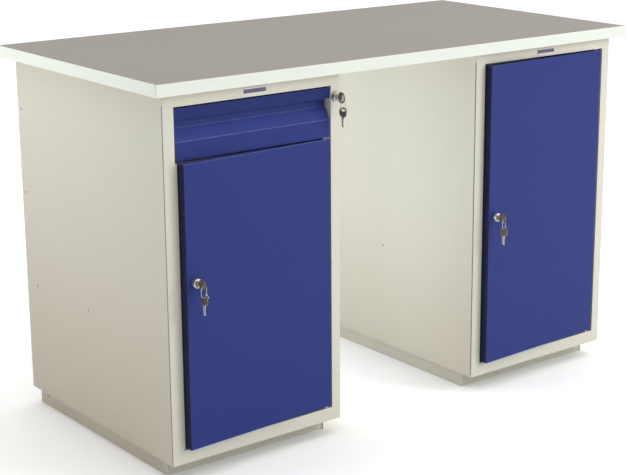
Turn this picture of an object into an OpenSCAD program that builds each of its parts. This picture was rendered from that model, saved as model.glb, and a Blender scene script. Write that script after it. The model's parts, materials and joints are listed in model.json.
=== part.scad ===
// Two-pedestal teacher desk: laminated worktop on two sheet-steel cabinets.
// The left cabinet has a lockable drawer over a door, the right one has a tall door.
// Modules are written from the worktop's front left corner at floor level:
// x runs right, y runs back, z runs up.  desk() then centres the whole desk.

/* [Desk] */
// Width of the worktop
desk_w = 1200; // [1180:5:1400]
// Depth of the worktop
desk_d = 600; // [600:5:640]
// Height of the worktop's surface above the floor
desk_h = 760; // [755:5:765]
// How far the keys stand out past the worktop's front edge
key_overhang = 30; // [20:1:40]

/* [Worktop] */
// Height of the white edge trim, which is the worktop's full thickness
trim_h = 23; // [21:1:30]
// Thickness of the edge trim
trim_t = 2; // [1:0.5:3]
// Thickness of the laminate
laminate_t = 0.8; // [0.6:0.1:1.2]
// Distance of the side trim's screw from the worktop's front edge
trim_screw_y = 518; // [400:1:560]

/* [Cabinets] */
// Width of each cabinet
cab_w = 395; // [390:1:400]
// Overhang of the worktop at each end
end_gap = 26; // [20:1:40]
// Overhang of the worktop at the front
front_gap = 25; // [25:1:30]
// Overhang of the worktop at the back
back_gap = 26; // [20:1:30]
// Thickness of the sheet steel
sheet = 1.2; // [1.2]
// Width of the seam between a side panel and the front frame
seam = 2.5; // [1.5:0.5:3]
// Height of the part of a side panel that closes the seam at the top
seam_stop = 20; // [10:1:30]

/* [Plinths] */
// Height of each plinth
plinth_h = 35; // [35]
// Set-back of the plinth from the cabinet's sides
plinth_side = 12; // [8:1:14]
// Set-back of the plinth from the cabinet's front
plinth_front = 41; // [30:1:60]
// Set-back of the plinth from the cabinet's back
plinth_back = 11; // [5:1:20]

/* [Front frame] */
// Width of the stile on the lock side
lock_stile_w = 23; // [23]
// Width of the stile on the hinge side
hinge_stile_w = 20.5; // [20.5]
// Height of the top rail
top_rail_h = 25; // [25]
// Height of the bottom rail
bottom_rail_h = 27; // [27]
// Depth of the frame's returns behind its face
return_d = 21; // [21]
// Width of the door stops
stop_w = 10; // [8:1:10]
// Height of the thin rail between the drawer and the left door
drawer_rail_z = 610.8; // [610.8]

/* [Doors] */
// Thickness of the door pans
door_t = 18.5; // [18:0.5:19.5]
// Width of both doors
door_w = 342; // [342]
// Angle that the left door stands ajar
left_ajar = 3; // [0:0.1:5]
// Angle that the right door stands ajar
right_ajar = 2.9; // [0:0.1:5]
// Gap between the left door and its hinge stile
left_hinge_gap = 3.5; // [3.5:0.5:5]
// Gap between the right door and its hinge stile
right_hinge_gap = 6; // [3.5:0.5:7]
// Distance of the pivot from the door's hinge edge and from its face
pivot_in = 8; // [8]
// Diameter of the pivot pins
pivot_d = 5.9; // [5.9]

/* [Drawer] */
// Height of the drawer front
drawer_front_h = 96.5; // [96.5]
// Height of the flat band below the grip recess
grip_band = 35; // [30:1:40]
// Depth of the grip recess
grip_depth = 16; // [12:1:16]
// Height of the lip above the grip recess
lip_h = 21; // [20:1:25]
// Depth of the drawer box
box_d = 478; // [450:1:485]
// Height of the drawer box
box_h = 78; // [70:1:78]
// Length of the telescopic runners
runner_l = 450; // [400:10:460]

/* [Locks and keys] */
// Height of the door locks above the floor
lock_z = 388.5; // [360:0.5:440]
// Distance of a door lock from the door's free edge
lock_in = 18.7; // [18.7:0.1:20]
// Height of the drawer lock above the floor
drawer_lock_z = 690.5; // [688:0.5:692]
// Diameter of a lock's head
lock_head_d = 18.4; // [18:0.1:19]
// How far a lock's head stands out
lock_head_l = 10; // [8:1:12]
// Length of a key's bow along the key
bow_l = 20.5; // [20:0.5:22]
// Width of a key's bow
bow_w = 21.5; // [21:0.5:24]
// Length of a key's blade
blade_l = 18; // [16:1:22]
// Height of a key's blade
blade_h = 6.4; // [6:0.1:7.2]
// Radius of the key rings, to the middle of the wire
ring_r = 11.5; // [11:0.5:12]
// Diameter of the key rings' wire
ring_wire = 1.2; // [1:0.1:1.4]
// Angle that the key rings are turned from square to the keys
ring_yaw = 28; // [0:1:30]

/* [Hidden] */
$fn = 48;
eps = 0.5;
hair = 0.2;

body_white = [0.87, 0.88, 0.82];
trim_white = [0.94, 0.95, 0.92];
grey_top = [0.65, 0.62, 0.59];
door_blue = [0.20, 0.25, 0.55];
steel = [0.72, 0.73, 0.74];
bronze = [0.40, 0.38, 0.34];

// Cabinet box: the left cabinet is number 0 and the right one number 1
LEFT = 0;
RIGHT = 1;
cab_x = [end_gap, desk_w - end_gap - cab_w];
cab_y0 = front_gap;
cab_y1 = desk_d - back_gap;
cab_z0 = plinth_h;
cab_z1 = desk_h - trim_h;
face_back = cab_y0 + sheet;
frame_back = face_back + return_d;
back_front = cab_y1 - sheet;

// Openings in the front frames
open_x0 = lock_stile_w;
open_x1 = cab_w - hinge_stile_w;
open_z0 = cab_z0 + bottom_rail_h;
open_z1 = cab_z1 - top_rail_h;
stop_end = open_x1 - 29.5;
recess_w = 5;
recess_y = cab_y0 + 9;

// Doors, closed
door_z0 = open_z0 + 4;
door_z1 = [drawer_rail_z - 0.8, open_z1 - 3];
hinge_gap = [left_hinge_gap, right_hinge_gap];
ajar = [left_ajar, right_ajar];
pivot_y = cab_y0 + pivot_in;
edge_flange = 9.5;
strike_gap = 1;
bush_d = 12;
bush_l = 14;
stiffener_w = 60;

// Drawer
drawer_x0 = open_x0 + 0.7;
drawer_x1 = open_x1 - 3.5;
drawer_z0 = drawer_rail_z + sheet + 1;
drawer_z1 = drawer_z0 + drawer_front_h;
runner_t = 12.7;
box_x0 = open_x0 + runner_t;
box_x1 = open_x1 - runner_t;
box_y0 = cab_y0 + grip_depth + sheet;
box_z0 = drawer_z0 + 9;
runner_y0 = frame_back + 5;
runner_z = box_z0 + box_h / 2 - 3.5;

// Shelf and its brackets
rivet_z = 266.5;
bracket_z0 = rivet_z - 11.5;
bracket_z1 = rivet_z + 12.5;
bracket_t = 1.5;
shelf_h = 20;
back_flange_y = 550;

// Fasteners
side_rivets = [[560.5, 633], [560.5, 460], [530.5, rivet_z], [322, rivet_z]];
plinth_rivet = [532, 20];
rivet_d = 3.2;
worktop_screw_d = 4;
worktop_screw_x = [100, 295];
worktop_screw_y = [50, 557];

// Locks: barrel, plug and keys
barrel_d = 16;
plug_d = 11;
barrel_end = frame_back + 0.3;
lock_face = cab_y0 - lock_head_l;
cam_l = 21;
drawer_cam_l = 20;
cam_t = 2;
drawer_lock_x = open_x1 + 9.65;
slot_l = 13.2;
slot_w = 5;
slot_out = 4.5;
key_t = 2.2;
neck_l = 1.8;
slot_to_neck = slot_out + bow_l / 2;
key_slot_y = lock_face - neck_l - slot_to_neck + 1.2;

function door_x1(i) = open_x1 - hinge_gap[i];
function door_x0(i) = door_x1(i) - door_w;
function pivot_x(i) = door_x1(i) - pivot_in;
function lock_x(i) = door_x0(i) + lock_in;

// ---------------------------------------------------------------- helpers
module desk() {
    translate([-desk_w / 2, -(desk_d - key_overhang) / 2, 0]) children();
}

module at_cabinet(i) {
    desk() translate([cab_x[i], 0, 0]) children();
}

// The same things for the cabinet's left and right halves
module both_sides() {
    children();
    translate([cab_w, 0, 0]) mirror([1, 0, 0]) children();
}

module block(a, b) {
    translate(a) cube(b - a);
}

// A round bar or hole along y
module along_y(x, z, y0, y1, d) {
    translate([x, y0, z]) rotate([-90, 0, 0]) cylinder(h = y1 - y0, d = d);
}

// A round bar or hole along x
module along_x(y, z, x0, x1, d) {
    translate([x0, y, z]) rotate([0, 90, 0]) cylinder(h = x1 - x0, d = d);
}

// Turns a door's pieces about its pivot to the angle that it stands ajar
module in_door(i) {
    at_cabinet(i)
        translate([pivot_x(i), pivot_y, 0])
            rotate([0, 0, ajar[i]])
                translate([-pivot_x(i), -pivot_y, 0]) children();
}

// ---------------------------------------------------------------- worktop
module worktop_board() {
    color("tan") difference() {
        desk() block([trim_t, trim_t, cab_z1],
                     [desk_w - trim_t, desk_d - trim_t, desk_h - laminate_t]);
        worktop_screw_shanks(worktop_screw_d);
        desk() for (x = [trim_t, desk_w - trim_t])
            along_x(trim_screw_y, desk_h - 13, x - 14, x + 14, 3);
    }
}

module worktop_laminate() {
    color(grey_top) desk()
        block([trim_t, trim_t, desk_h - laminate_t],
              [desk_w - trim_t, desk_d - trim_t, desk_h]);
}

// A trim strip along x with its outer edges eased
module long_trim() {
    ease = 0.5;
    rotate([90, 0, 90]) linear_extrude(desk_w)
        polygon([[trim_t, 0], [ease, 0], [0, ease], [0, trim_h - ease],
                 [ease, trim_h], [trim_t, trim_h]]);
}

module trim_front() {
    color(trim_white) desk() translate([0, 0, cab_z1]) long_trim();
}

module trim_back() {
    color(trim_white) desk()
        translate([desk_w, desk_d, cab_z1]) rotate([0, 0, 180]) long_trim();
}

// The side trims stop just short of the front and back ones, which leaves an open joint
module side_trim() {
    ease = 0.5;
    joint = trim_t + 0.9;
    difference() {
        translate([0, desk_d - joint, cab_z1]) rotate([90, 0, 0])
            linear_extrude(desk_d - 2 * joint)
                polygon([[trim_t, 0], [ease, 0], [0, ease], [0, trim_h - ease],
                         [ease, trim_h], [trim_t, trim_h]]);
        along_x(trim_screw_y, desk_h - 13, -eps, trim_t + eps, 3);
    }
}

module trim_left() {
    color(trim_white) desk() side_trim();
}

module trim_right() {
    color(trim_white) desk() translate([desk_w, 0, 0]) mirror([1, 0, 0]) side_trim();
}

module trim_screw() {
    along_x(trim_screw_y, desk_h - 13, 0, 16, 3);
    translate([0, trim_screw_y, desk_h - 13]) rotate([0, -90, 0])
        cylinder(h = 0.9, d1 = 6, d2 = 4);
}

module trim_screws() {
    color(steel) desk() {
        trim_screw();
        translate([desk_w, 0, 0]) mirror([1, 0, 0]) trim_screw();
    }
}

module worktop_screw_shanks(d) {
    for (i = [LEFT, RIGHT]) at_cabinet(i)
        for (x = worktop_screw_x, y = worktop_screw_y)
            translate([x, y, cab_z1 - sheet - eps]) cylinder(h = 14 + sheet + eps, d = d);
}

module worktop_screws() {
    color(steel) for (i = [LEFT, RIGHT]) at_cabinet(i)
        for (x = worktop_screw_x, y = worktop_screw_y) translate([x, y, cab_z1 - sheet]) {
            cylinder(h = 14 + sheet, d = worktop_screw_d);
            translate([0, 0, -2.4]) cylinder(h = 2.4, d1 = 6, d2 = 8.5);
        }
}

// ---------------------------------------------------------------- cabinet shell
// A side panel on the cabinet's left: sheet, top flange and bottom flange
module side_panel() {
    difference() {
        union() {
            block([0, face_back + seam, cab_z0], [sheet, back_front, cab_z1]);
            block([0, face_back, cab_z1 - seam_stop], [sheet, back_front, cab_z1]);
            block([0, 50, cab_z0], [16, back_flange_y - 1, cab_z0 + sheet]);
            block([0, 60, cab_z1 - sheet], [21, 540, cab_z1]);
        }
        for (r = side_rivets) along_x(r[0], r[1], -eps, sheet + eps, rivet_d);
    }
}

module left_outer_side() {
    color(body_white) at_cabinet(LEFT) side_panel();
}

module left_inner_side() {
    color(body_white) at_cabinet(LEFT) translate([cab_w, 0, 0]) mirror([1, 0, 0]) side_panel();
}

module right_inner_side() {
    color(body_white) at_cabinet(RIGHT) side_panel();
}

module right_outer_side() {
    color(body_white) at_cabinet(RIGHT) translate([cab_w, 0, 0]) mirror([1, 0, 0]) side_panel();
}

module back_panel() {
    difference() {
        union() {
            block([0, back_front, cab_z0], [cab_w, cab_y1, cab_z1]);
            both_sides() block([sheet, back_flange_y, cab_z0 + 2],
                               [2 * sheet, back_front + eps, cab_z1 - 2]);
        }
        both_sides() for (r = [side_rivets[0], side_rivets[1]])
            along_x(r[0], r[1], -eps, 2 * sheet + eps, rivet_d);
    }
}

module left_back_panel() {
    color(body_white) at_cabinet(LEFT) back_panel();
}

module right_back_panel() {
    color(body_white) at_cabinet(RIGHT) back_panel();
}

module floor_panel() {
    block([2 * sheet, frame_back, open_z0 - sheet], [cab_w - 2 * sheet, back_front, open_z0]);
    both_sides() block([2 * sheet, 60, open_z0 - 17], [3 * sheet, back_flange_y, open_z0]);
}

module left_floor_panel() {
    color(body_white) at_cabinet(LEFT) floor_panel();
}

module right_floor_panel() {
    color(body_white) at_cabinet(RIGHT) floor_panel();
}

module rear_rails() {
    color(body_white) for (i = [LEFT, RIGHT]) at_cabinet(i) difference() {
        union() {
            block([2 * sheet, 540, cab_z1 - sheet], [cab_w - 2 * sheet, back_front, cab_z1]);
            block([2 * sheet, back_front - sheet, cab_z1 - 35],
                  [cab_w - 2 * sheet, back_front, cab_z1]);
        }
        for (x = worktop_screw_x) translate([x, worktop_screw_y[1], cab_z1 - 2])
            cylinder(h = 4, d = worktop_screw_d + 0.5);
    }
}

// ---------------------------------------------------------------- plinths
// Front, back and side channels, butted at the corners with a fine seam
module plinth() {
    x0 = plinth_side;
    x1 = cab_w - plinth_side;
    y0 = cab_y0 + plinth_front;
    y1 = cab_y1 - plinth_back;
    front_inset = 2;
    lip = 15;
    lip_gap = lip + 1;
    flange_z = [0, plinth_h - sheet];
    tab_y = plinth_rivet[0] - 10;
    block([x0 + sheet + hair, y0 + front_inset, 0],
          [x1 - sheet - hair, y0 + front_inset + sheet, plinth_h]);
    for (z = flange_z)
        block([x0 + lip_gap, y0 + front_inset, z], [x1 - lip_gap, y0 + lip, z + sheet]);
    difference() {
        union() {
            block([x0, y1 - sheet, 0], [x1, y1, plinth_h]);
            for (z = flange_z)
                block([x0 + lip_gap, y1 - lip, z], [x1 - lip_gap, y1, z + sheet]);
            both_sides() block([x0 + sheet + hair, tab_y, 5],
                               [x0 + 2 * sheet + hair, y1, plinth_h - 5]);
        }
        both_sides() along_x(plinth_rivet[0], plinth_rivet[1], x0, x0 + 3 * sheet, rivet_d);
    }
    both_sides() difference() {
        union() {
            block([x0, y0, 0], [x0 + sheet, y1 - sheet - hair, plinth_h]);
            for (z = flange_z)
                block([x0, y0 + lip_gap, z], [x0 + lip, y1 - lip_gap, z + sheet]);
        }
        along_x(plinth_rivet[0], plinth_rivet[1], x0 - eps, x0 + sheet + eps, rivet_d);
    }
}

module left_plinth() {
    color(body_white) at_cabinet(LEFT) plinth();
}

module right_plinth() {
    color(body_white) at_cabinet(RIGHT) plinth();
}

// ---------------------------------------------------------------- front frame
// The strike strip behind the stile's face fills the gap beside the closed door.
// The outer return steps inwards, which leaves a deep recess behind the side seam
module lock_stile(i) {
    block([0, cab_y0, cab_z0], [open_x0, face_back, cab_z1]);
    block([open_x0 - sheet, face_back, open_z0 + strike_gap],
          [door_x0(i) - strike_gap, face_back + sheet, door_z1[i] - strike_gap]);
    block([recess_w, cab_y0, cab_z0], [recess_w + sheet, recess_y + sheet, cab_z1]);
    block([sheet, recess_y, cab_z0], [recess_w + sheet, recess_y + sheet, cab_z1]);
    block([sheet, recess_y, cab_z0], [2 * sheet, frame_back, cab_z1]);
    block([open_x0 - sheet, cab_y0, cab_z0], [open_x0, frame_back, cab_z1]);
    block([open_x0 - sheet, frame_back - sheet, open_z0],
          [open_x0 + stop_w, frame_back, door_z1[i] + 0.4]);
}

module left_lock_stile() {
    color(body_white) at_cabinet(LEFT) lock_stile(LEFT);
}

module right_lock_stile() {
    color(body_white) at_cabinet(RIGHT) lock_stile(RIGHT);
}

module hinge_stile() {
    block([open_x1, cab_y0, cab_z0], [cab_w, face_back, cab_z1]);
    block([open_x1, cab_y0, cab_z0], [open_x1 + sheet, frame_back, cab_z1]);
    block([cab_w - 2 * sheet, cab_y0, cab_z0], [cab_w - sheet, frame_back, cab_z1]);
}

// This stile also holds the drawer's lock
module left_hinge_stile() {
    color(body_white) at_cabinet(LEFT) difference() {
        hinge_stile();
        along_y(drawer_lock_x, drawer_lock_z, cab_y0 - eps, face_back + eps, barrel_d);
    }
}

module right_hinge_stile() {
    color(body_white) at_cabinet(RIGHT) hinge_stile();
}

// The pin holes are round, because the pins are held in them
module top_rail(i) {
    difference() {
        union() {
            block([open_x0, cab_y0, open_z1], [open_x1, face_back, cab_z1]);
            block([open_x0, cab_y0, open_z1], [open_x1, frame_back, open_z1 + sheet]);
            block([open_x0, cab_y0, cab_z1 - sheet], [open_x1, 60, cab_z1]);
            if (i == RIGHT)
                block([open_x0 + stop_w, frame_back - sheet, open_z1 - stop_w],
                      [stop_end, frame_back, open_z1 + sheet]);
        }
        for (x = worktop_screw_x) translate([x, worktop_screw_y[0], cab_z1 - 2])
            cylinder(h = 4, d = worktop_screw_d + 0.5);
        if (i == RIGHT) translate([pivot_x(i), pivot_y, open_z1 - eps])
            cylinder(h = 3, d = pivot_d);
    }
}

module left_top_rail() {
    color(body_white) at_cabinet(LEFT) top_rail(LEFT);
}

module right_top_rail() {
    color(body_white) at_cabinet(RIGHT) top_rail(RIGHT);
}

module bottom_rail(i) {
    difference() {
        union() {
            block([open_x0, cab_y0, cab_z0], [open_x1, face_back, open_z0]);
            block([open_x0, cab_y0, open_z0 - sheet], [open_x1, frame_back, open_z0]);
            block([open_x0, cab_y0, cab_z0], [open_x1, frame_back, cab_z0 + sheet]);
            block([open_x0 + stop_w, frame_back - sheet, open_z0 - sheet],
                  [stop_end, frame_back, open_z0 + stop_w]);
        }
        translate([pivot_x(i), pivot_y, open_z0 - 3]) cylinder(h = 4, d = pivot_d);
    }
}

module left_bottom_rail() {
    color(body_white) at_cabinet(LEFT) bottom_rail(LEFT);
}

module right_bottom_rail() {
    color(body_white) at_cabinet(RIGHT) bottom_rail(RIGHT);
}

// Thin rail between the drawer and the left door, with the door's top stop.
// It comes forward only at the hinge end, where it holds the pivot pin
module left_drawer_rail() {
    color(body_white) at_cabinet(LEFT) difference() {
        union() {
            block([open_x0, frame_back - 6, drawer_rail_z],
                  [open_x1, frame_back, drawer_rail_z + sheet]);
            block([pivot_x(LEFT) - 5, pivot_y - 4.2, drawer_rail_z],
                  [open_x1, frame_back, drawer_rail_z + sheet]);
            block([open_x0 + stop_w, frame_back - sheet, drawer_rail_z - stop_w],
                  [stop_end, frame_back, drawer_rail_z + sheet]);
        }
        translate([pivot_x(LEFT), pivot_y, drawer_rail_z - eps]) cylinder(h = 3, d = pivot_d);
    }
}

// ---------------------------------------------------------------- shelves
module shelf_brackets() {
    color(body_white) for (i = [LEFT, RIGHT]) at_cabinet(i) both_sides() difference() {
        union() {
            block([sheet, 60, bracket_z0], [sheet + bracket_t, back_flange_y - 2, bracket_z1]);
            block([sheet, 60, bracket_z1 - bracket_t], [22, back_flange_y - 2, bracket_z1]);
        }
        for (r = [side_rivets[2], side_rivets[3]])
            along_x(r[0], r[1], 0, sheet + bracket_t + eps, rivet_d);
    }
}

// A sheet tray turned upside down, standing on its brackets
module shelf() {
    x0 = 4;
    x1 = cab_w - 4;
    y0 = 62;
    y1 = 560;
    top = bracket_z1 + shelf_h;
    difference() {
        block([x0, y0, bracket_z1], [x1, y1, top]);
        block([x0 + sheet, y0 + sheet, bracket_z1 - eps],
              [x1 - sheet, y1 - sheet, top - sheet]);
    }
}

module left_shelf() {
    color(body_white) at_cabinet(LEFT) shelf();
}

module right_shelf() {
    color(body_white) at_cabinet(RIGHT) shelf();
}

// ---------------------------------------------------------------- small fixed pieces
// A blind rivet seen from the left: outer head, shank and inner head
module rivet(x, y, z, grip) {
    translate([x, y, z]) rotate([0, -90, 0]) cylinder(h = 0.9, d1 = 5.6, d2 = 3.4);
    along_x(y, z, x - 0.2, x + grip + 0.2, rivet_d);
    along_x(y, z, x + grip, x + grip + 1, 5);
}

module panel_rivets() {
    color(body_white) for (i = [LEFT, RIGHT]) at_cabinet(i) both_sides() {
        for (k = [0:3])
            rivet(0, side_rivets[k][0], side_rivets[k][1],
                  k < 2 ? 2 * sheet : sheet + bracket_t);
        rivet(plinth_side, plinth_rivet[0], plinth_rivet[1], 2 * sheet + hair);
    }
}

module name_plates() {
    plate_w = 49;
    plate_h = 12;
    color("lightgrey") for (i = [LEFT, RIGHT]) at_cabinet(i)
        translate([(open_x0 + open_x1 - plate_w) / 2, cab_y0 - 0.8, open_z1 + 5])
            cube([plate_w, 0.8, plate_h]);
}

// Fixed pins of both doors: a long one with a thrust collar below, a short one above
module door_pivot_pins() {
    color(steel) for (i = [LEFT, RIGHT]) at_cabinet(i) translate([pivot_x(i), pivot_y, 0]) {
        translate([0, 0, open_z0 - sheet]) cylinder(h = 17, d = pivot_d);
        translate([0, 0, open_z0]) cylinder(h = door_z0 - open_z0 - 0.1, d = 11);
        top = i == LEFT ? drawer_rail_z + sheet : open_z1 + sheet;
        translate([0, 0, door_z1[i] - 12]) cylinder(h = top - door_z1[i] + 12, d = pivot_d);
    }
}

// ---------------------------------------------------------------- doors
// Folded sheet pan, open at the back inside its edge flanges
module door_pan(i) {
    x0 = door_x0(i);
    x1 = door_x1(i);
    z0 = door_z0;
    z1 = door_z1[i];
    back = cab_y0 + door_t;
    color(door_blue) in_door(i) difference() {
        block([x0, cab_y0, z0], [x1, back, z1]);
        block([x0 + sheet, face_back, z0 + sheet], [x1 - sheet, back - sheet, z1 - sheet]);
        block([x0 + edge_flange, face_back, z0 + edge_flange],
              [x1 - edge_flange, back + eps, z1 - edge_flange]);
        along_y(lock_x(i), lock_z, cab_y0 - eps, face_back + eps, barrel_d);
        for (z = [z0 - eps, z1 - sheet - eps])
            translate([pivot_x(i), pivot_y, z]) cylinder(h = sheet + 2 * eps, d = bush_d);
    }
}

module left_door() {
    door_pan(LEFT);
}

module right_door() {
    door_pan(RIGHT);
}

// Hat-section stiffener behind the door's face
module door_stiffener(i) {
    mid = (door_x0(i) + door_x1(i)) / 2;
    wing = 14;
    depth = door_t - sheet;
    z0 = door_z0 + 40;
    z1 = door_z1[i] - 40;
    color(door_blue) in_door(i) translate([mid, face_back, z0]) linear_extrude(z1 - z0)
        polygon([[-stiffener_w / 2 - wing, 0], [-stiffener_w / 2, 0],
                 [-stiffener_w / 2, depth - sheet], [stiffener_w / 2, depth - sheet],
                 [stiffener_w / 2, 0], [stiffener_w / 2 + wing, 0],
                 [stiffener_w / 2 + wing, sheet], [stiffener_w / 2 + sheet, sheet],
                 [stiffener_w / 2 + sheet, depth], [-stiffener_w / 2 - sheet, depth],
                 [-stiffener_w / 2 - sheet, sheet], [-stiffener_w / 2 - wing, sheet]]);
}

module left_door_stiffener() {
    door_stiffener(LEFT);
}

module right_door_stiffener() {
    door_stiffener(RIGHT);
}

// Plastic bushings that turn on the pivot pins
module door_bushings(i) {
    color("white") in_door(i)
        for (z = [door_z0, door_z1[i] - bush_l]) translate([pivot_x(i), pivot_y, z])
            difference() {
                cylinder(h = bush_l, d = bush_d);
                translate([0, 0, -eps]) cylinder(h = bush_l + 2 * eps, d = pivot_d + 0.1);
            }
}

module left_door_bushings() {
    door_bushings(LEFT);
}

module right_door_bushings() {
    door_bushings(RIGHT);
}

// ---------------------------------------------------------------- locks
// Lock pieces are drawn around the lock's own axis, which runs along y at x = z = 0
module lock_body() {
    chamfer = 1.5;
    bore_r = plug_d / 2 + 0.05;
    head_r = lock_head_d / 2;
    rotate([-90, 0, 0]) rotate_extrude()
        polygon([[bore_r, lock_face], [head_r - chamfer, lock_face],
                 [head_r, lock_face + chamfer], [head_r, cab_y0], [barrel_d / 2, cab_y0],
                 [barrel_d / 2, barrel_end], [bore_r, barrel_end]]);
}

module lock_nut() {
    translate([0, face_back, 0]) rotate([-90, 0, 0]) difference() {
        cylinder(h = 3, d = 24, $fn = 6);
        translate([0, 0, -eps]) cylinder(h = 4, d = barrel_d);
    }
}

module lock_plug(reach) {
    cam_y = barrel_end + 0.5;
    keyway_w = key_t + 0.3;
    keyway_h = blade_h + 0.8;
    difference() {
        along_y(0, 0, lock_face + 0.6, cam_y, plug_d);
        block([-keyway_w / 2, lock_face - eps, -keyway_h / 2],
              [keyway_w / 2, lock_face + blade_l + 4, keyway_h / 2]);
        along_y(0, 0, cam_y - 4, cam_y + eps, 3.9);
    }
    difference() {
        union() {
            along_y(0, 0, cam_y, cam_y + cam_t, 13);
            block([-5, cam_y, 0], [5, cam_y + cam_t, reach]);
        }
        along_y(0, 0, cam_y - eps, cam_y + cam_t + eps, 3.9);
    }
    along_y(0, 0, cam_y - 4, cam_y + cam_t + 0.1, 3.9);
    along_y(0, 0, cam_y + cam_t, cam_y + cam_t + 2, 8);
}

// Outline of a key in its own plane: bow round the origin's slot, blade along +x
module key_outline() {
    steps = 40;
    neck_h = blade_h + 1.4;
    difference() {
        union() {
            polygon([for (k = [0:steps - 1])
                [slot_out + bow_l / 2 * cos(360 * k / steps), bow_w / 2 * sin(360 * k / steps)]]);
            translate([slot_to_neck - 1.2, -neck_h / 2]) square([neck_l + 0.6, neck_h]);
        }
        key_slot();
    }
}

// The slot is a little wider round its middle, where the ring's wire passes
module key_slot() {
    square([slot_w, slot_l - slot_w], center = true);
    circle(d = slot_w + 1);
    for (s = [-1, 1]) translate([0, s * (slot_l - slot_w) / 2]) circle(d = slot_w);
}

// Blade with its bitting, as steps in the lower edge
module blade_outline() {
    half = blade_h / 2;
    cuts = [0, 1.1, 0.5, 1.5, 0.9, 1.3, 0.3];
    pitch = blade_l / len(cuts);
    start = slot_to_neck + neck_l - 0.9;
    polygon(concat(
        [[start, half], [start, -half]],
        [for (k = [0:len(cuts) - 1], e = [0.25, 0.75])
            [start + (k + e) * pitch, -half + cuts[k]]],
        [[start + blade_l, 0], [start + blade_l - half, half]]));
}

// A key with its slot's middle at the origin and its blade along +y
module key() {
    rotate([90, 0, 90]) {
        translate([0, 0, -key_t / 2]) linear_extrude(key_t) key_outline();
        translate([0, 0, -1]) linear_extrude(2) blade_outline();
    }
}

module key_ring() {
    translate([0, key_slot_y, -ring_r]) rotate([90, 0, ring_yaw]) rotate_extrude($fn = 64)
        translate([ring_r, 0]) circle(d = ring_wire, $fn = 16);
}

module inserted_key() {
    translate([0, key_slot_y, 0]) key();
}

module spare_key() {
    translate([0, key_slot_y, -2 * ring_r]) rotate([-90, 0, 0]) key();
}

module door_lock_at(i) {
    in_door(i) translate([lock_x(i), 0, lock_z]) children();
}

module drawer_lock_at() {
    at_cabinet(LEFT) translate([drawer_lock_x, 0, drawer_lock_z]) children();
}

module left_lock_body() {
    color(steel) door_lock_at(LEFT) {
        lock_body();
        lock_nut();
    }
}

module left_lock_plug() {
    color(steel) door_lock_at(LEFT) lock_plug(cam_l);
}

module left_key() {
    color(bronze) door_lock_at(LEFT) inserted_key();
}

module left_key_ring() {
    color(steel) door_lock_at(LEFT) key_ring();
}

module left_spare_key() {
    color(bronze) door_lock_at(LEFT) spare_key();
}

module right_lock_body() {
    color(steel) door_lock_at(RIGHT) {
        lock_body();
        lock_nut();
    }
}

module right_lock_plug() {
    color(steel) door_lock_at(RIGHT) lock_plug(cam_l);
}

module right_key() {
    color(bronze) door_lock_at(RIGHT) inserted_key();
}

module right_key_ring() {
    color(steel) door_lock_at(RIGHT) key_ring();
}

module right_spare_key() {
    color(bronze) door_lock_at(RIGHT) spare_key();
}

module drawer_lock_body() {
    color(steel) drawer_lock_at() lock_body();
}

module drawer_lock_plug() {
    color(steel) drawer_lock_at() lock_plug(drawer_cam_l);
}

module drawer_key() {
    color(bronze) drawer_lock_at() inserted_key();
}

module drawer_key_ring() {
    color(steel) drawer_lock_at() key_ring();
}

module drawer_spare_key() {
    color(bronze) drawer_lock_at() spare_key();
}

// ---------------------------------------------------------------- drawer
// Folded front with a full-width grip recess, open at both ends
module drawer_front() {
    y0 = cab_y0;
    y1 = y0 + grip_depth;
    y2 = y1 + 3;
    z0 = drawer_z0;
    z1 = z0 + grip_band;
    z2 = z1 + 21;
    z3 = drawer_z1 - lip_h;
    z4 = drawer_z1;
    slope = [y1 - y0, z2 - z1] / norm([y1 - y0, z2 - z1]);
    rise = sheet * (1 - slope[0]) / slope[1];
    color(door_blue) at_cabinet(LEFT) translate([drawer_x0, 0, 0])
        rotate([90, 0, 90]) linear_extrude(drawer_x1 - drawer_x0)
            polygon([[y2, z0], [y0, z0], [y0, z1], [y1, z2], [y1, z3], [y0, z3],
                     [y0, z4], [y2, z4], [y2, z4 - sheet], [y0 + sheet, z4 - sheet],
                     [y0 + sheet, z3 + sheet], [y1 + sheet, z3 + sheet],
                     [y1 + sheet, z2 - rise], [y0 + sheet, z1 - rise],
                     [y0 + sheet, z0 + sheet], [y2, z0 + sheet]]);
}

// One-piece box, with the catch that the lock's cam holds welded to its right side
module drawer_box() {
    color(body_white) at_cabinet(LEFT) {
        difference() {
            block([box_x0, box_y0, box_z0], [box_x1, box_y0 + box_d, box_z0 + box_h]);
            block([box_x0 + sheet, box_y0 + sheet, box_z0 + sheet],
                  [box_x1 - sheet, box_y0 + box_d - sheet, box_z0 + box_h + eps]);
        }
        block([box_x1 - eps, box_y0 + sheet, drawer_lock_z - 9],
              [box_x1 + 1.5, box_y0 + 18, drawer_lock_z + 9]);
        block([box_x1, frame_back - 1.8, drawer_lock_z - 9],
              [box_x1 + 10.2, frame_back - 0.3, drawer_lock_z + 9]);
    }
}

// A channel along y, opening to +x, centred on the runner's height
module channel(x, w, h, t) {
    block([x, runner_y0, runner_z - h / 2], [x + t, runner_y0 + runner_l, runner_z + h / 2]);
    for (z = [runner_z - h / 2, runner_z + h / 2 - t])
        block([x, runner_y0, z], [x + w, runner_y0 + runner_l, z + t]);
}

// The right-hand runner is the left-hand one mirrored about the opening's middle
module both_runners() {
    children();
    translate([open_x0 + open_x1, 0, 0]) mirror([1, 0, 0]) children();
}

// Z-shaped bracket from the side panel to the runner
module runner_bracket(y, wall) {
    z0 = runner_z - 12;
    z1 = runner_z + 12;
    block([wall, y, z0], [wall + 1.5, y + 20, z1]);
    block([wall, y + 18.5, z0], [open_x0, y + 20, z1]);
    block([open_x0 - 1.5, y + 18.5, z0], [open_x0, y + 40, z1]);
}

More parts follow.
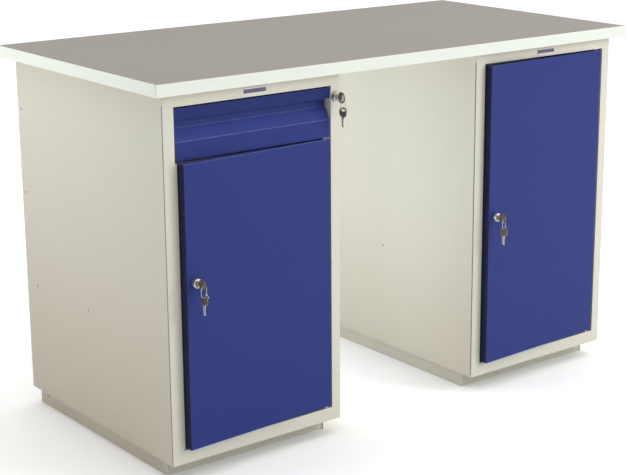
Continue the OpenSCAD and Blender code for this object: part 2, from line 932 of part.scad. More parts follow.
module drawer_runners() {
    color(steel) at_cabinet(LEFT) {
        both_runners() channel(open_x0, 10, 35, sheet);
        for (y = [70, 440]) runner_bracket(y, sheet);
        translate([open_x0 + open_x1, 0, 0]) mirror([1, 0, 0])
            for (y = [70, 440]) runner_bracket(y, open_x0 - hinge_stile_w + sheet);
    }
}

module slide_carriages() {
    color(steel) at_cabinet(LEFT) both_runners() channel(open_x0 + 2.5, 7, 31, sheet);
}

// The drawer's own slide members open towards the cabinet
module drawer_slides() {
    color(steel) at_cabinet(LEFT) both_runners() {
        block([box_x0 - sheet, runner_y0, runner_z - 13],
              [box_x0, runner_y0 + runner_l, runner_z + 13]);
        for (z = [runner_z - 13, runner_z + 13 - sheet])
            block([open_x0 + 5.5, runner_y0, z], [box_x0, runner_y0 + runner_l, z + sheet]);
    }
}

worktop_board();
worktop_laminate();
trim_front();
trim_back();
trim_left();
trim_right();
trim_screws();
worktop_screws();
left_outer_side();
left_inner_side();
left_back_panel();
left_floor_panel();
left_lock_stile();
left_hinge_stile();
left_top_rail();
left_bottom_rail();
left_drawer_rail();
left_plinth();
left_shelf();
right_outer_side();
right_inner_side();
right_back_panel();
right_floor_panel();
right_lock_stile();
right_hinge_stile();
right_top_rail();
right_bottom_rail();
right_plinth();
right_shelf();
rear_rails();
shelf_brackets();
panel_rivets();
name_plates();
door_pivot_pins();
drawer_runners();
drawer_lock_body();
left_door();
left_door_stiffener();
left_door_bushings();
left_lock_body();
left_lock_plug();
left_key();
left_key_ring();
left_spare_key();
right_door();
right_door_stiffener();
right_door_bushings();
right_lock_body();
right_lock_plug();
right_key();
right_key_ring();
right_spare_key();
drawer_front();
drawer_box();
drawer_slides();
slide_carriages();
drawer_lock_plug();
drawer_key();
drawer_key_ring();
drawer_spare_key();
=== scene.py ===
"""Looks of the two-pedestal teacher desk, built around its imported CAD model."""
import json
import math

import bpy
from mathutils import Matrix, Vector


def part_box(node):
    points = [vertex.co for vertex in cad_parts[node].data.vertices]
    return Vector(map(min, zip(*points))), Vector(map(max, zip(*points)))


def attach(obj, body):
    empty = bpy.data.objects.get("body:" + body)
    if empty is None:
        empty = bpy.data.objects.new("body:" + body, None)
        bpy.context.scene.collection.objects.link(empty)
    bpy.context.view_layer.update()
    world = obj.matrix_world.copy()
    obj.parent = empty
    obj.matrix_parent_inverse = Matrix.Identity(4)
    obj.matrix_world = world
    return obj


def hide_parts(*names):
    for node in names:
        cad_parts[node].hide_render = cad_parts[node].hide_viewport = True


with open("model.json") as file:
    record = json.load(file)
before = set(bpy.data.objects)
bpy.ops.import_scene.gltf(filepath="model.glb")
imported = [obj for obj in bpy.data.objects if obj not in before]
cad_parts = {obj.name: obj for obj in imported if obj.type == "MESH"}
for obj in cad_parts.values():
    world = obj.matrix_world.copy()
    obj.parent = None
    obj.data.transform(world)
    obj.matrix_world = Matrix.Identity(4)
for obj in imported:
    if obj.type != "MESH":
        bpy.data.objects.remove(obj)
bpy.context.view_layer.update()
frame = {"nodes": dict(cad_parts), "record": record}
NODES = frame["nodes"]
BODY_OF = {n: b for b, ns in frame["record"]["behaviour"]["bodies"].items() for n in ns}
SLOT_OF = {s["node"]: s["material_slot"] for s in frame["record"]["subparts"]}
MM = 0.001
LOCKS = ("left", "right", "drawer")

# Camera: place in metres, degrees right of +y and below level, lens in mm, shift of the frame
CAMERA_AT = (-2.0192, -2.5953, 1.2304)
CAMERA_AZIMUTH = 39.01
CAMERA_DOWN = 14.75
CAMERA_LENS = 90.585
CAMERA_SHIFT = (-0.0736, -0.0297)
SENSOR_WIDTH = 36.0

# Brightness of the surroundings near the horizon, from the left (-x) to the right, and overhead
HORIZON_LEFT, HORIZON_RIGHT = 0.0, 1.12
ZENITH = 1.92
# How far left and right (as the x of a unit vector) the horizon's brightness keeps changing
HORIZON_SPAN = (-0.5, 1.2)
# Brightness of the even white that the camera sees behind the desk
BACKDROP = 1.15
FLOOR_SIZE = 60
FLOOR_WHITE = (0.985, 0.985, 0.985)

# Width in mm of each material's softened edges
BEVEL = {"white_paint": 0.2, "blue_paint": 0.5, "trim": 0.3, "laminate": 0.15, "board": 0.3,
         "zinc": 0.2, "lock_chrome": 0.3, "key_metal": 0.35, "plate": 0.25, "bushing": 0.3}
# Bends sharper than this many degrees are softened; the drawer front's creases are shallow
SHARP = 40
SHARP_ON_DRAWER = 15
# Vertices closer than this are one, and faces within this many degrees are one flat face
SAME_VERTEX = 0.002 * MM
SAME_PLANE = 0.3

# Heights on the drawer front above its foot: flat band, bend in the recess, foot of the lip
GRIP_BAND = 35 * MM
GRIP_BEND = 58 * MM
LIP_FOOT = 75.5 * MM
# Bare rim above and below the band on a name plate
PLATE_RIM = 2.2 * MM
# Reach of a key's bow from the middle of its slot; the blade is beyond it
KEY_BOW = 13 * MM
# Wire loops: radius of the wire, length of the twisted tail and its number of turns
WIRE_R = 0.6 * MM
TAIL_LENGTH = 11 * MM
TAIL_TURNS = 2.6
# Where the tail leaves the loop, in degrees below level, and which way it hangs
TAIL_ANGLE = 32
TAIL_WAY = Vector((0.25, -0.2, -1))
# Rivet and screw heads: full height above the wall, height of the dome
HEAD_H = 0.9 * MM
DOME_H = 0.8 * MM
RIVET_HEAD_R = 2.8 * MM
RIVET_SHANK_R = 1.6 * MM
# A head's skirt below its dome, as a share of the dome's height
SKIRT = 0.12
# How far the screws of the side trims are turned, in radians
SCREW_TURN = 0.35

# White coat: its colour, worn colour, dust, and a darker, yellower colour painted as shade on the
# sides near the floor
WHITE = (0.568, 0.560, 0.480)
WHITE_WORN = (0.68, 0.68, 0.63)
WHITE_DUST = (0.40, 0.36, 0.29)
WHITE_SIDE_SHADE = (0.508, 0.464, 0.378)
# Blue coat: its colour, worn colour lightened also as a painted highlight on edges, dust, and a
# darker colour painted as shade on its narrow sides
BLUE = (0.0155, 0.028, 0.160)
BLUE_WORN_AND_HIGHLIGHT = (0.13, 0.16, 0.40)
BLUE_DUST = (0.08, 0.09, 0.18)
BLUE_SIDE_SHADE = (0.007, 0.010, 0.036)
# Heights between which the sides' white turns to its painted shade colour
SIDE_SHADE_FROM, SIDE_SHADE_TO = 0.64, 0.16
# Colours of a key's bow and blade: the drawer's keys are painted paler, a painted reflection of the
# bright surroundings
KEY_TONES = {"left": ((0.105, 0.084, 0.064), (0.37, 0.36, 0.34)),
             "right": ((0.105, 0.084, 0.064), (0.37, 0.36, 0.34)),
             "drawer": ((0.210, 0.195, 0.155), (0.60, 0.58, 0.52))}


# ---------------------------------------------------------------- camera, studio
def make_camera():
    """The photo's viewing angle: from the front left, a little down on the desk."""
    data = bpy.data.cameras.new("camera")
    data.sensor_width = SENSOR_WIDTH
    data.lens = CAMERA_LENS
    data.shift_x, data.shift_y = CAMERA_SHIFT
    data.clip_start, data.clip_end = 0.05, FLOOR_SIZE
    camera = bpy.data.objects.new("camera", data)
    camera.location = CAMERA_AT
    camera.rotation_euler = (math.radians(90 - CAMERA_DOWN), 0, math.radians(-CAMERA_AZIMUTH))
    bpy.context.scene.collection.objects.link(camera)
    bpy.context.scene.camera = camera


def area_light(name, at, aim, size, watts, spread=180, tint=(1, 1, 1)):
    """A rectangular soft light at one point, aimed at another and unseen by the camera."""
    data = bpy.data.lights.new(name, "AREA")
    data.shape = "RECTANGLE"
    data.size, data.size_y = size
    data.energy = watts
    data.spread = math.radians(spread)
    data.color = tint
    light = bpy.data.objects.new(name, data)
    light.location = at
    light.rotation_euler = (Vector(aim) - Vector(at)).to_track_quat("-Z", "Y").to_euler()
    light.visible_camera = False
    bpy.context.scene.collection.objects.link(light)


def make_world():
    """White surroundings that are brightest overhead and darkest low down on the left. The
    camera sees them as an even white, so the floor has no visible end."""
    world = bpy.data.worlds.new("studio")
    bpy.context.scene.world = world
    world.use_nodes = True
    tree = world.node_tree
    way = tree.nodes.new("ShaderNodeSeparateXYZ")
    tree.links.new(tree.nodes.new("ShaderNodeTexCoord").outputs["Generated"], way.inputs[0])
    across = tree.nodes.new("ShaderNodeMapRange")
    across.interpolation_type = "SMOOTHSTEP"
    for name, value in (("From Min", HORIZON_SPAN[0]), ("From Max", HORIZON_SPAN[1]),
                        ("To Min", HORIZON_LEFT), ("To Max", HORIZON_RIGHT)):
        across.inputs[name].default_value = value
    tree.links.new(way.outputs["X"], across.inputs["Value"])
    up = tree.nodes.new("ShaderNodeMath")
    up.operation = "POWER"
    up.use_clamp = True
    up.inputs[1].default_value = 2.0
    tree.links.new(way.outputs["Z"], up.inputs[0])
    level = tree.nodes.new("ShaderNodeMix")
    tree.links.new(up.outputs[0], level.inputs[0])
    tree.links.new(across.outputs["Result"], level.inputs[2])
    level.inputs[3].default_value = ZENITH
    rays = tree.nodes.new("ShaderNodeLightPath")
    seen = tree.nodes.new("ShaderNodeMix")
    tree.links.new(rays.outputs["Is Camera Ray"], seen.inputs[0])
    tree.links.new(level.outputs[0], seen.inputs[2])
    seen.inputs[3].default_value = BACKDROP
    sky = tree.nodes["Background"]
    sky.inputs["Color"].default_value = (1, 1, 1, 1)
    tree.links.new(seen.outputs[0], sky.inputs["Strength"])


def make_studio():
    """Soft light from the front right, weak fills for the left side and the knee space, a floor."""
    make_world()
    area_light("key", (2.6, -3.6, 2.3), (0, 0, 0.4), (1.3, 1.3), 78)
    area_light("side", (-1.7, 0.95, 0.95), (-0.57, 0.16, 0.62), (0.5, 0.5), 1.05, 60)
    area_light("knee", (-0.165, 0.03, 0.40), (0.18, 0.03, 0.40), (0.42, 0.68), 1.57,
               tint=(0.88, 1.0, 1.15))
    bpy.context.scene.view_settings.view_transform = "Standard"

    bpy.ops.mesh.primitive_grid_add(x_subdivisions=8, y_subdivisions=8, size=FLOOR_SIZE)
    floor = bpy.context.object
    floor.name = "studio_floor"
    white = Shader("studio_floor", FLOOR_WHITE, rough=0.9)
    white.vary_colour(0.7, 0.005)
    white.out.inputs["Specular IOR Level"].default_value = 0.1
    floor.data.materials.append(white.mat)


# ---------------------------------------------------------------- materials
class Shader:
    """A procedural material that is built up step by step from its Principled shader."""

    def __init__(self, name, colour, rough=0.5, metal=0.0):
        self.mat = bpy.data.materials.new(name)
        self.mat.use_nodes = True
        self.tree = self.mat.node_tree
        self.out = self.tree.nodes["Principled BSDF"]
        self.out.inputs["Metallic"].default_value = metal
        self.coords = self.node("ShaderNodeTexCoord").outputs["Object"]
        self.colour = self.node("ShaderNodeRGB").outputs[0]
        self.colour.default_value = (*colour, 1)
        self.rough = self.node("ShaderNodeValue").outputs[0]
        self.rough.default_value = rough
        self.normal = None
        self.join()

    def node(self, kind, **settings):
        made = self.tree.nodes.new(kind)
        for key, value in settings.items():
            setattr(made, key, value)
        return made

    def link(self, source, target):
        self.tree.links.new(source, target)

    def join(self):
        """Links the colour, roughness and normal as they stand to the shader."""
        self.link(self.colour, self.out.inputs["Base Color"])
        self.link(self.rough, self.out.inputs["Roughness"])
        if self.normal is not None:
            self.link(self.normal, self.out.inputs["Normal"])

    def math(self, operation, a, b, clamp=False):
        """a and b, each a socket or a number, put through one math node."""
        made = self.node("ShaderNodeMath", operation=operation, use_clamp=clamp)
        for socket, value in zip(made.inputs, (a, b)):
            if isinstance(value, (int, float)):
                socket.default_value = value
            else:
                self.link(value, socket)
        return made.outputs[0]

    def noise(self, scale, detail=2.0, stretch=(1, 1, 1)):
        """Noise from 0 to 1 with that many features a metre."""
        source = self.coords
        if stretch != (1, 1, 1):
            place = self.node("ShaderNodeMapping")
            place.inputs["Scale"].default_value = stretch
            self.link(source, place.inputs["Vector"])
            source = place.outputs["Vector"]
        made = self.node("ShaderNodeTexNoise")
        made.inputs["Scale"].default_value = scale
        made.inputs["Detail"].default_value = detail
        self.link(source, made.inputs["Vector"])
        return made.outputs["Fac"]

    def cells(self, scale):
        """Voronoi cells: (distance to the cell's middle, a random colour for each cell)."""
        made = self.node("ShaderNodeTexVoronoi")
        made.inputs["Scale"].default_value = scale
        self.link(self.coords, made.inputs["Vector"])
        return made.outputs["Distance"], made.outputs["Color"]

    def ramp(self, value, low, high):
        """value, stretched so that low becomes 0 and high becomes 1."""
        made = self.node("ShaderNodeMapRange", clamp=True)
        made.inputs["From Min"].default_value = low
        made.inputs["From Max"].default_value = high
        self.link(value, made.inputs["Value"])
        return made.outputs["Result"]

    def tint(self, mask, colour, strength=1.0):
        """Mixes colour in where mask is 1, up to strength."""
        mix = self.node("ShaderNodeMix", data_type="RGBA")
        self.link(self.math("MULTIPLY", mask, strength), mix.inputs[0])
        self.link(self.colour, mix.inputs[6])
        mix.inputs[7].default_value = (*colour, 1)
        self.colour = mix.outputs[2]
        self.join()

    def vary_colour(self, scale, amount, detail=3.0, stretch=(1, 1, 1)):
        """Lightens and darkens the colour by up to amount, in patches."""
        shade = self.node("ShaderNodeHueSaturation")
        swing = self.math("MULTIPLY", self.math("SUBTRACT", self.noise(scale, detail, stretch), 0.5),
                          4 * amount)
        self.link(self.math("ADD", swing, 1.0), shade.inputs["Value"])
        self.link(self.colour, shade.inputs["Color"])
        self.colour = shade.outputs["Color"]
        self.join()

    def vary_rough(self, scale, amount, detail=2.0, stretch=(1, 1, 1)):
        """Makes the surface glossier and duller by up to amount, in patches."""
        swing = self.math("MULTIPLY", self.math("SUBTRACT", self.noise(scale, detail, stretch), 0.5),
                          2 * amount)
        self.rough = self.math("ADD", self.rough, swing, clamp=True)
        self.join()

    def bump(self, height, depth, strength=1.0):
        """Raises the surface by up to depth metres where height is 1."""
        made = self.node("ShaderNodeBump")
        made.inputs["Strength"].default_value = strength
        made.inputs["Distance"].default_value = depth
        self.link(height, made.inputs["Height"])
        if self.normal is not None:
            self.link(self.normal, made.inputs["Normal"])
        self.normal = made.outputs["Normal"]
        self.join()

    def edge_mask(self, radius):
        """1 near the piece's sharp edges, 0 elsewhere."""
        bevel = self.node("ShaderNodeBevel", samples=4)
        bevel.inputs["Radius"].default_value = radius
        flat = self.node("ShaderNodeNewGeometry").outputs["Normal"]
        dot = self.node("ShaderNodeVectorMath", operation="DOT_PRODUCT")
        self.link(bevel.outputs["Normal"], dot.inputs[0])
        self.link(flat, dot.inputs[1])
        return self.ramp(self.math("SUBTRACT", 1.0, dot.outputs["Value"]), 0.0, 0.25)

    def place(self, axis):
        """The surface point's own x, y or z in the row frame at rest, in metres."""
        split = self.node("ShaderNodeSeparateXYZ")
        self.link(self.coords, split.inputs[0])
        return split.outputs[axis]

    def facing(self, axis):
        """How squarely the surface faces along the piece's own axis, from 0 to 1."""
        split = self.node("ShaderNodeSeparateXYZ")
        self.link(self.node("ShaderNodeTexCoord").outputs["Normal"], split.inputs[0])
        return self.math("ABSOLUTE", split.outputs[axis], 0.0)

    def ball(self, centre, radius, soft):
        """1 further than radius from centre, 0 nearer, with a soft border."""
        away = self.node("ShaderNodeVectorMath", operation="DISTANCE")
        self.link(self.coords, away.inputs[0])
        away.inputs[1].default_value = centre
        return self.ramp(away.outputs["Value"], radius, radius + soft)

    def band(self, axis, low, high, soft):
        """1 between two places along an axis, 0 outside them."""
        at = self.place(axis)
        rising = self.ramp(at, low - soft, low)
        return self.math("MULTIPLY", rising, self.ramp(at, high + soft, high))


def finish_coat(s, worn, dust):
    """Powder coat's faint patches, worn edges (on the blue coat also a painted highlight), dust low
    down, specks and orange peel.
    """
    s.vary_colour(2.2, 0.010)
    s.vary_colour(60, 0.006)
    # Pale edges: wear, and on the blue coat a painted highlight along the edges
    edges = s.math("MULTIPLY", s.edge_mask(1.6 * MM), s.ramp(s.noise(55, 4.0), 0.45, 0.75))
    s.tint(edges, worn, 0.35)
    low = s.ramp(s.place("Z"), 0.10, 0.0)
    s.tint(s.math("MULTIPLY", low, s.ramp(s.noise(30, 5.0), 0.35, 0.75)), dust, 0.15)
    specks = s.ramp(s.noise(420, 1.0), 0.74, 0.80)
    s.tint(specks, dust, 0.10)
    s.vary_rough(14, 0.06)
    s.bump(s.noise(620, 2.0), 0.05 * MM, 0.35)
    s.bump(s.noise(4.5, 1.0), 0.5 * MM, 0.10)


def make_white_paint():
    """White powder coat, with painted shade: darker and yellower toward the floor where it faces
    sideways.
    """
    s = Shader("white_powder_coat", WHITE, rough=0.45)
    s.out.inputs["Specular IOR Level"].default_value = 0.5
    # Painted shade: faces that face sideways are darkened and yellowed toward the floor
    low = s.ramp(s.place("Z"), SIDE_SHADE_FROM, SIDE_SHADE_TO)
    s.tint(s.math("MULTIPLY", s.facing("X"), low), WHITE_SIDE_SHADE)
    finish_coat(s, WHITE_WORN, WHITE_DUST)
    return s.mat


def blue_coat(name):
    """Blue powder coat, with painted shade: dark on the narrow sides of a door or drawer front."""
    s = Shader(name, BLUE, rough=0.48)
    s.out.inputs["Specular IOR Level"].default_value = 0.17
    # Painted shade: the narrow sides, which face along x, are darkened
    s.tint(s.ramp(s.facing("X"), 0.65, 0.85), BLUE_SIDE_SHADE, 0.85)
    # The blue's worn colour is lightened, so its edges carry a painted highlight
    finish_coat(s, BLUE_WORN_AND_HIGHLIGHT, BLUE_DUST)
    return s


def make_drawer_paint():
    """The blue of the drawer front, with painted light: lighter on its slopes, darker on its lip as
    painted shade, and painted highlights in patches along the two creases.
    """
    s = blue_coat("blue_drawer_coat")
    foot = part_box("drawer_front")[0].z
    # Painted light: the upward-sloping faces are lightened
    slope = s.ramp(s.facing("Y"), 0.995, 0.97)
    s.tint(slope, (0.030, 0.048, 0.235), 0.8)
    # Painted shade: the lip above the recess is darkened
    s.tint(s.band("Z", foot + LIP_FOOT, foot + 0.2, 1 * MM), (0.008, 0.018, 0.115), 0.8)
    # Painted highlights: pale blue lines in patches along the two creases
    for height, strength in ((GRIP_BAND, 0.42), (GRIP_BEND, 0.26)):
        crease = s.band("Z", foot + height - 0.4 * MM, foot + height + 0.4 * MM, 0.5 * MM)
        highlight_patches = s.ramp(s.noise(150, 4.0), 0.25, 0.65)
        s.tint(s.math("MULTIPLY", crease, highlight_patches), (0.24, 0.27, 0.48), strength)
    return s.mat


def make_left_door_paint():
    """The blue of the left door, with a painted highlight along its top edge and over its top face.
    """
    s = blue_coat("blue_door_coat")
    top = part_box("left_door")[1].z
    # Painted highlight: pale blue in patches along the top edge and over the top face
    highlight_patches = s.ramp(s.noise(150, 4.0), 0.15, 0.60)
    edge = s.band("Z", top - 1.2 * MM, top + 1 * MM, 0.8 * MM)
    s.tint(s.math("MULTIPLY", edge, highlight_patches), (0.27, 0.30, 0.50), 0.18)
    return s.mat


def make_laminate():
    """Matt grey laminate with a fine two-tone speckle."""
    s = Shader("laminate", (0.245, 0.221, 0.193), rough=0.62)
    s.vary_colour(1.6, 0.012)
    distance, _ = s.cells(520)
    s.tint(s.ramp(distance, 0.34, 0.20), (0.34, 0.305, 0.27), 0.35)
    s.tint(s.ramp(s.noise(900, 2.0), 0.60, 0.72), (0.20, 0.175, 0.155), 0.45)
    scuffs = s.ramp(s.noise(9, 6.0, (1, 6, 1)), 0.62, 0.78)
    s.rough = s.math("SUBTRACT", s.rough, s.math("MULTIPLY", scuffs, 0.03), clamp=True)
    s.vary_rough(40, 0.03)
    s.bump(s.noise(1400, 2.0), 0.03 * MM, 0.2)
    return s.mat


def make_trim(name, colour):
    """White plastic edge trim, faintly drawn along its length."""
    s = Shader(name, colour, rough=0.42)
    s.vary_colour(3.0, 0.008)
    s.tint(s.ramp(s.noise(130, 5.0), 0.66, 0.80), (0.58, 0.56, 0.51), 0.16)
    s.vary_rough(60, 0.08)
    s.bump(s.noise(700, 2.0, (0.1, 0.1, 1.0)), 0.03 * MM, 0.35)
    return s.mat


def make_board():
    """Raw chipboard: pressed flakes of several browns."""
    s = Shader("chipboard", (0.50, 0.37, 0.235), rough=0.85)
    distance, shades = s.cells(240)
    s.tint(s.ramp(shades, 0.15, 0.85), (0.66, 0.52, 0.35), 0.7)
    s.tint(s.ramp(s.noise(330, 4.0), 0.56, 0.66), (0.30, 0.20, 0.12), 0.5)
    s.vary_colour(6, 0.03)
    s.bump(distance, 0.3 * MM, 0.4)
    s.bump(s.noise(900, 3.0), 0.1 * MM, 0.4)
    return s.mat


def make_zinc():
    """Bright zinc plate with faint spangle and drawing lines."""
    s = Shader("zinc", (0.60, 0.61, 0.61), rough=0.38, metal=1.0)
    _, shades = s.cells(160)
    s.tint(s.ramp(shades, 0.2, 0.9), (0.74, 0.75, 0.77), 0.35)
    s.tint(s.ramp(s.noise(70, 5.0), 0.60, 0.78), (0.42, 0.40, 0.36), 0.3)
    s.vary_rough(220, 0.12, 3.0, (1, 0.06, 1))
    s.bump(s.noise(900, 2.0, (1, 0.05, 1)), 0.03 * MM, 0.3)
    return s.mat


def make_chrome():
    """Polished lock chrome with fine turning marks and dulled patches."""
    s = Shader("lock_chrome", (0.60, 0.59, 0.57), rough=0.30, metal=0.85)
    s.vary_colour(180, 0.03)
    s.tint(s.ramp(s.noise(260, 5.0), 0.60, 0.80), (0.50, 0.46, 0.38), 0.35)
    s.vary_rough(500, 0.10, 3.0)
    s.bump(s.noise(2400, 1.0, (0.2, 1.6, 0.2)), 0.02 * MM, 0.3)
    return s.mat


def make_key_metal(name, slot_middle, bow, blade):
    """Dark bronze bow of a handled key, and its bright blade, worn by the lock."""
    s = Shader(name, bow, rough=0.45, metal=0.45)
    s.tint(s.ramp(s.noise(240, 5.0), 0.48, 0.72), (0.075, 0.064, 0.052), 0.6)
    s.tint(s.edge_mask(0.5 * MM), (0.36, 0.30, 0.22), 0.40)
    s.tint(s.ball(slot_middle, KEY_BOW, 1.5 * MM), blade, 0.9)
    s.vary_rough(700, 0.14, 3.0)
    s.bump(s.noise(1500, 3.0), 0.05 * MM, 0.35)
    return s.mat


def make_wire():
    """Dull steel wire."""
    s = Shader("ring_wire", (0.48, 0.49, 0.50), rough=0.34, metal=0.7)
    s.vary_colour(300, 0.05)
    s.vary_rough(900, 0.12)
    s.bump(s.noise(3000, 1.0), 0.02 * MM, 0.3)
    return s.mat


def make_rivet():
    """Bare steel rivet, dulled and greyed like the paint round it."""
    s = Shader("rivet_steel", (0.32, 0.29, 0.24), rough=0.45, metal=0.35)
    s.tint(s.ramp(s.noise(300, 4.0), 0.5, 0.7), (0.22, 0.19, 0.15), 0.6)
    s.tint(s.edge_mask(0.3 * MM), (0.60, 0.58, 0.52), 0.5)
    s.vary_rough(800, 0.12)
    s.bump(s.noise(2200, 2.0), 0.03 * MM, 0.4)
    return s.mat


def make_plate():
    """Satin aluminium plate, brushed along its length, with a plain slate-violet band."""
    s = Shader("plate_aluminium", (0.58, 0.575, 0.585), rough=0.42, metal=0.6)
    low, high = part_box("name_plates")
    band = s.band("Z", low.z + PLATE_RIM, high.z - PLATE_RIM, 0.2 * MM)
    s.tint(band, (0.045, 0.038, 0.085), 0.9)
    s.vary_rough(600, 0.16, 3.0, (0.04, 1, 1))
    s.vary_colour(500, 0.04, 2.0, (0.04, 1, 1))
    s.bump(s.noise(1800, 1.0, (0.04, 1, 1)), 0.02 * MM, 0.4)
    return s.mat


def make_bushing():
    """Off-white nylon."""
    s = Shader("bushing_nylon", (0.80, 0.79, 0.74), rough=0.55)
    s.out.inputs["Subsurface Weight"].default_value = 0.1
    s.out.inputs["Subsurface Radius"].default_value = (0.002, 0.002, 0.002)
    s.vary_colour(140, 0.02)
    s.vary_rough(300, 0.06)
    s.bump(s.noise(1200, 2.0), 0.04 * MM, 0.3)
    return s.mat


make_camera()
make_studio()
MATERIALS = {
    "white_paint": make_white_paint(),
    "blue_paint": blue_coat("blue_powder_coat").mat,
    "laminate": make_laminate(),
    "trim": make_trim("trim", (0.652, 0.684, 0.620)),
    "board": make_board(),
    "zinc": make_zinc(),
    "lock_chrome": make_chrome(),
    "ring_wire": make_wire(),
    "plate": make_plate(),
    "bushing": make_bushing(),
}

# Painted light: a lighter copy of the trim's white for the side trims, standing in for the light
# falling on them
LIT_SIDE_TRIM = make_trim("side_trim", (0.755, 0.792, 0.718))


# ---------------------------------------------------------------- CAD nodes
def ring_shape(lock):
    """Where a lock's key ring hangs: (middle, radius, unit vector across the ring)."""
    low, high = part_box(lock + "_key_ring")
    wide = high - low
    half = wide.x + wide.y - wide.z
    wire = half - math.sqrt(half ** 2 - (wide.x ** 2 + wide.y ** 2 - wide.z ** 2))
    across = Vector((wide.x - wire, wide.y - wire, 0))
    return (low + high) / 2, (wide.z - wire) / 2, across.normalized()


def key_material(node):
    """A key's own metal: the ring hangs between the slots of its two keys."""
    lock = node.split("_")[0]
    middle, radius, _ = ring_shape(lock)
    rise = -radius if "spare" in node else radius
    bow, blade = KEY_TONES[lock]
    return make_key_metal(node + "_metal", middle + Vector((0, 0, rise)), bow, blade)


def material_for(name, slot):
    """A CAD node's material: its slot's own one, apart from a few pieces that differ."""
    if slot == "key_metal":
        return key_material(name)
    if name == "drawer_front":
        return make_drawer_paint()
    if name == "left_door":
        return make_left_door_paint()
    # The side trims take the lighter copy of the trim, which is painted light
    if name in ("trim_left", "trim_right"):
        return LIT_SIDE_TRIM
    return MATERIALS[slot]


def dress(name, obj):
    """Gives a CAD node its material and softens its edges by modifiers."""
    slot = SLOT_OF[name]
    obj.data.materials.clear()
    obj.data.materials.append(material_for(name, slot))
    weld = obj.modifiers.new("weld", "WELD")
    weld.merge_threshold = SAME_VERTEX
    if slot != "key_metal":
        flat = obj.modifiers.new("flat_faces", "DECIMATE")
        flat.decimate_type = "DISSOLVE"
        flat.angle_limit = math.radians(SAME_PLANE)
    if slot in BEVEL:
        bevel = obj.modifiers.new("bevel", "BEVEL")
        bevel.width = BEVEL[slot] * MM
        bevel.segments = 2
        bevel.limit_method = "ANGLE"
        bevel.angle_limit = math.radians(SHARP_ON_DRAWER if name == "drawer_front" else SHARP)
        bevel.use_clamp_overlap = True
        bevel.loop_slide = False
        bevel.harden_normals = True


for node_name, node_object in sorted(NODES.items()):
    dress(node_name, node_object)


# ---------------------------------------------------------------- pieces in mesh code
def mesh_piece(name, points, faces, stands_for, material=None):
    """A new smooth-shaded piece in a CAD node's place, with that node's body and slot."""
    slot = SLOT_OF[stands_for]
    mesh = bpy.data.meshes.new(name)
    mesh.from_pydata(points, [], faces)
    mesh.update()
    for face in mesh.polygons:
        face.use_smooth = True
    mesh.materials.append(material or MATERIALS[slot])
    piece = bpy.data.objects.new(name, mesh)
    bpy.context.scene.collection.objects.link(piece)
    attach(piece, BODY_OF[stands_for])
    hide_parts(stands_for)


def tube(path, radius, closed=False, sides=10):
    """A round wire along a path: (points, faces). Its open ends are closed with flat caps."""
    count = len(path)
    points, faces = [], []
    side = None
    for i, at in enumerate(path):
        before = path[i - 1] if closed or i else path[i]
        after = path[(i + 1) % count] if closed or i < count - 1 else path[i]
        along = (after - before).normalized()
        if side is None:
            side = along.orthogonal()
        side = (side - along * side.dot(along)).normalized()
        other = along.cross(side)
        for k in range(sides):
            turn = 2 * math.pi * k / sides
            points.append(at + radius * (math.cos(turn) * side + math.sin(turn) * other))
    for i in range(count if closed else count - 1):
        here, there = i * sides, (i + 1) % count * sides
        for k in range(sides):
            n = (k + 1) % sides
            faces.append((here + k, here + n, there + n, there + k))
    if not closed:
        faces.append(tuple(reversed(range(sides))))
        faces.append(tuple(range((count - 1) * sides, count * sides)))
    return points, faces


def join_parts(parts):
    """Several (points, faces) as one."""
    points, faces = [], []
    for part_points, part_faces in parts:
        start = len(points)
        points += part_points
        faces += [tuple(start + k for k in face) for face in part_faces]
    return points, faces


def wire_loop(lock):
    """A wire loop through both keys, its two ends twisted into a short free tail."""
    middle, radius, across = ring_shape(lock)
    up = Vector((0, 0, 1))
    loop_steps, tail_steps = 64, 24
    loop = []
    for k in range(loop_steps):
        turn = 2 * math.pi * k / loop_steps
        loop.append(middle + radius * (math.cos(turn) * across + math.sin(turn) * up))
    leave = math.radians(-TAIL_ANGLE)
    start = middle + radius * (math.cos(leave) * across + math.sin(leave) * up)
    down = (0.22 * across + TAIL_WAY).normalized()
    side = down.orthogonal().normalized()
    other = down.cross(side)
    parts = [tube(loop, WIRE_R, closed=True)]
    for strand in (0, math.pi):
        path = []
        for k in range(tail_steps + 1):
            part = k / tail_steps
            turn = strand + 2 * math.pi * TAIL_TURNS * part
            apart = 1.05 * WIRE_R * min(1, 4 * part + 0.2)
            path.append(start + TAIL_LENGTH * part * down
                        + apart * (math.cos(turn) * side + math.sin(turn) * other))
        parts.append(tube(path, WIRE_R, sides=8))
    points, faces = join_parts(parts)
    mesh_piece(lock + "_wire_loop", points, faces, lock + "_key_ring")


def round_head(radius, height, recess, rings=14, sides=36):
    """A domed head on z = 0 whose surface is sunk by recess(x, y): (points, faces)."""
    points, faces = [], []
    for r in range(1, rings + 1):
        reach = r / rings
        for k in range(sides):
            turn = 2 * math.pi * k / sides
            x, y = reach * math.cos(turn), reach * math.sin(turn)
            dome = height * (1 - reach ** 3) + SKIRT * height
            points.append(Vector((radius * x, radius * y, dome - recess(x, y))))
    rim = len(points)
    for k in range(sides):
        turn = 2 * math.pi * k / sides
        points.append(Vector((radius * math.cos(turn), radius * math.sin(turn), 0)))
    top = len(points)
    points.append(Vector((0, 0, (1 + SKIRT) * height - recess(0, 0))))
    for k in range(sides):
        n = (k + 1) % sides
        faces.append((top, k, n))
        for r in range(rings):
            here, there = r * sides, (r + 1) * sides
            faces.append((here + k, there + k, there + n, here + n))
    faces.append(tuple(reversed(range(rim, rim + sides))))
    return points, faces


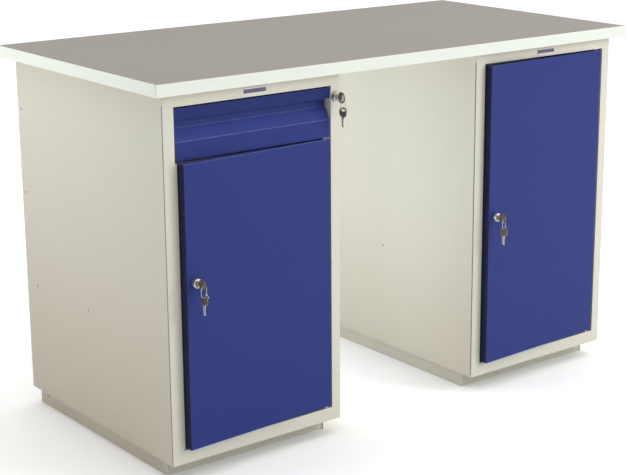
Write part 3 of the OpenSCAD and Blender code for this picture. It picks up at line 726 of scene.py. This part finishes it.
def solids_of(node):
    """The box of each separate solid in a CAD node: a list of (lowest, highest) corners."""
    mesh = NODES[node].data
    spots, links = {}, {}
    index = []
    for v in mesh.vertices:
        spot = tuple(round(c * 1e6) for c in v.co)
        index.append(spots.setdefault(spot, len(spots)))
    root = list(range(len(spots)))

    def find(i):
        while root[i] != i:
            root[i] = root[root[i]]
            i = root[i]
        return i

    for a, b in (edge.vertices for edge in mesh.edges):
        root[find(index[a])] = find(index[b])
    for v in mesh.vertices:
        links.setdefault(find(index[v.index]), []).append(v.co.copy())
    boxes = []
    for corners in links.values():
        low = Vector([min(c[k] for c in corners) for k in range(3)])
        high = Vector([max(c[k] for c in corners) for k in range(3)])
        boxes.append((low, high))
    return sorted(boxes, key=lambda box: tuple(round(c, 5) for c in box[0]))


def on_side(points, middle, outward, turn=0.0):
    """Puts a head that was made on z = 0 onto a wall that faces outward along x."""
    spin = Matrix.Rotation(turn, 3, "Z")
    tilt = Vector((0, 0, 1)).rotation_difference(Vector((outward, 0, 0))).to_matrix()
    return [middle + tilt @ (spin @ p) for p in points]


def rivet_dimple(x, y):
    """Hollow left in a blind rivet's head by its broken pin. x and y are shares of its radius."""
    depth = 0.45 * MM
    flat, wall = 0.28, 0.10
    away = math.hypot(x, y)
    return depth if away < flat else depth * max(0.0, 1 - (away - flat) / wall)


def cross_recess(x, y):
    """Cross recess of a screw head, deepest at its middle. x and y are shares of its radius."""
    depth = 0.75 * MM
    half_width, half_length = 0.13, 0.62
    arm = min(abs(x), abs(y))
    reach = max(abs(x), abs(y))
    if arm > half_width or reach > half_length:
        return 0.0
    return depth * (1 - 0.6 * reach)


def make_rivets():
    """Domed blind rivets in place of the CAD's plain ones."""
    cabinet_middle = abs(sum(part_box("left_plinth")[k].x for k in (0, 1))) / 2
    parts = []
    for low, high in solids_of("panel_rivets"):
        middle = (low + high) / 2
        cabinet = -1 if middle.x < 0 else 1
        outward = 1 if (middle.x - cabinet * cabinet_middle) > 0 else -1
        face = (high.x if outward > 0 else low.x) - outward * HEAD_H
        head = round_head(RIVET_HEAD_R, DOME_H, rivet_dimple)
        parts.append((on_side(head[0], Vector((face, middle.y, middle.z)), outward), head[1]))
        inner = [Vector((low.x if outward > 0 else high.x, middle.y, middle.z)),
                 Vector((face + outward * 0.1 * MM, middle.y, middle.z))]
        parts.append(tube(inner, RIVET_SHANK_R, sides=16))
    points, faces = join_parts(parts)
    mesh_piece("blind_rivets", points, faces, "panel_rivets", make_rivet())


def make_trim_screws():
    """Pan-head screws with a cross recess in the side trims."""
    parts = []
    for low, high in solids_of("trim_screws"):
        middle = (low + high) / 2
        outward = -1 if middle.x < 0 else 1
        face = (high.x if outward > 0 else low.x) - outward * HEAD_H
        radius = (high.z - low.z) / 2
        points, faces = round_head(radius, DOME_H, cross_recess, rings=20, sides=48)
        at = Vector((face, middle.y, middle.z))
        parts.append((on_side(points, at, outward, SCREW_TURN), faces))
    points, faces = join_parts(parts)
    mesh_piece("cross_head_screws", points, faces, "trim_screws")


make_rivets()
make_trim_screws()
for lock_name in LOCKS:
    wire_loop(lock_name)
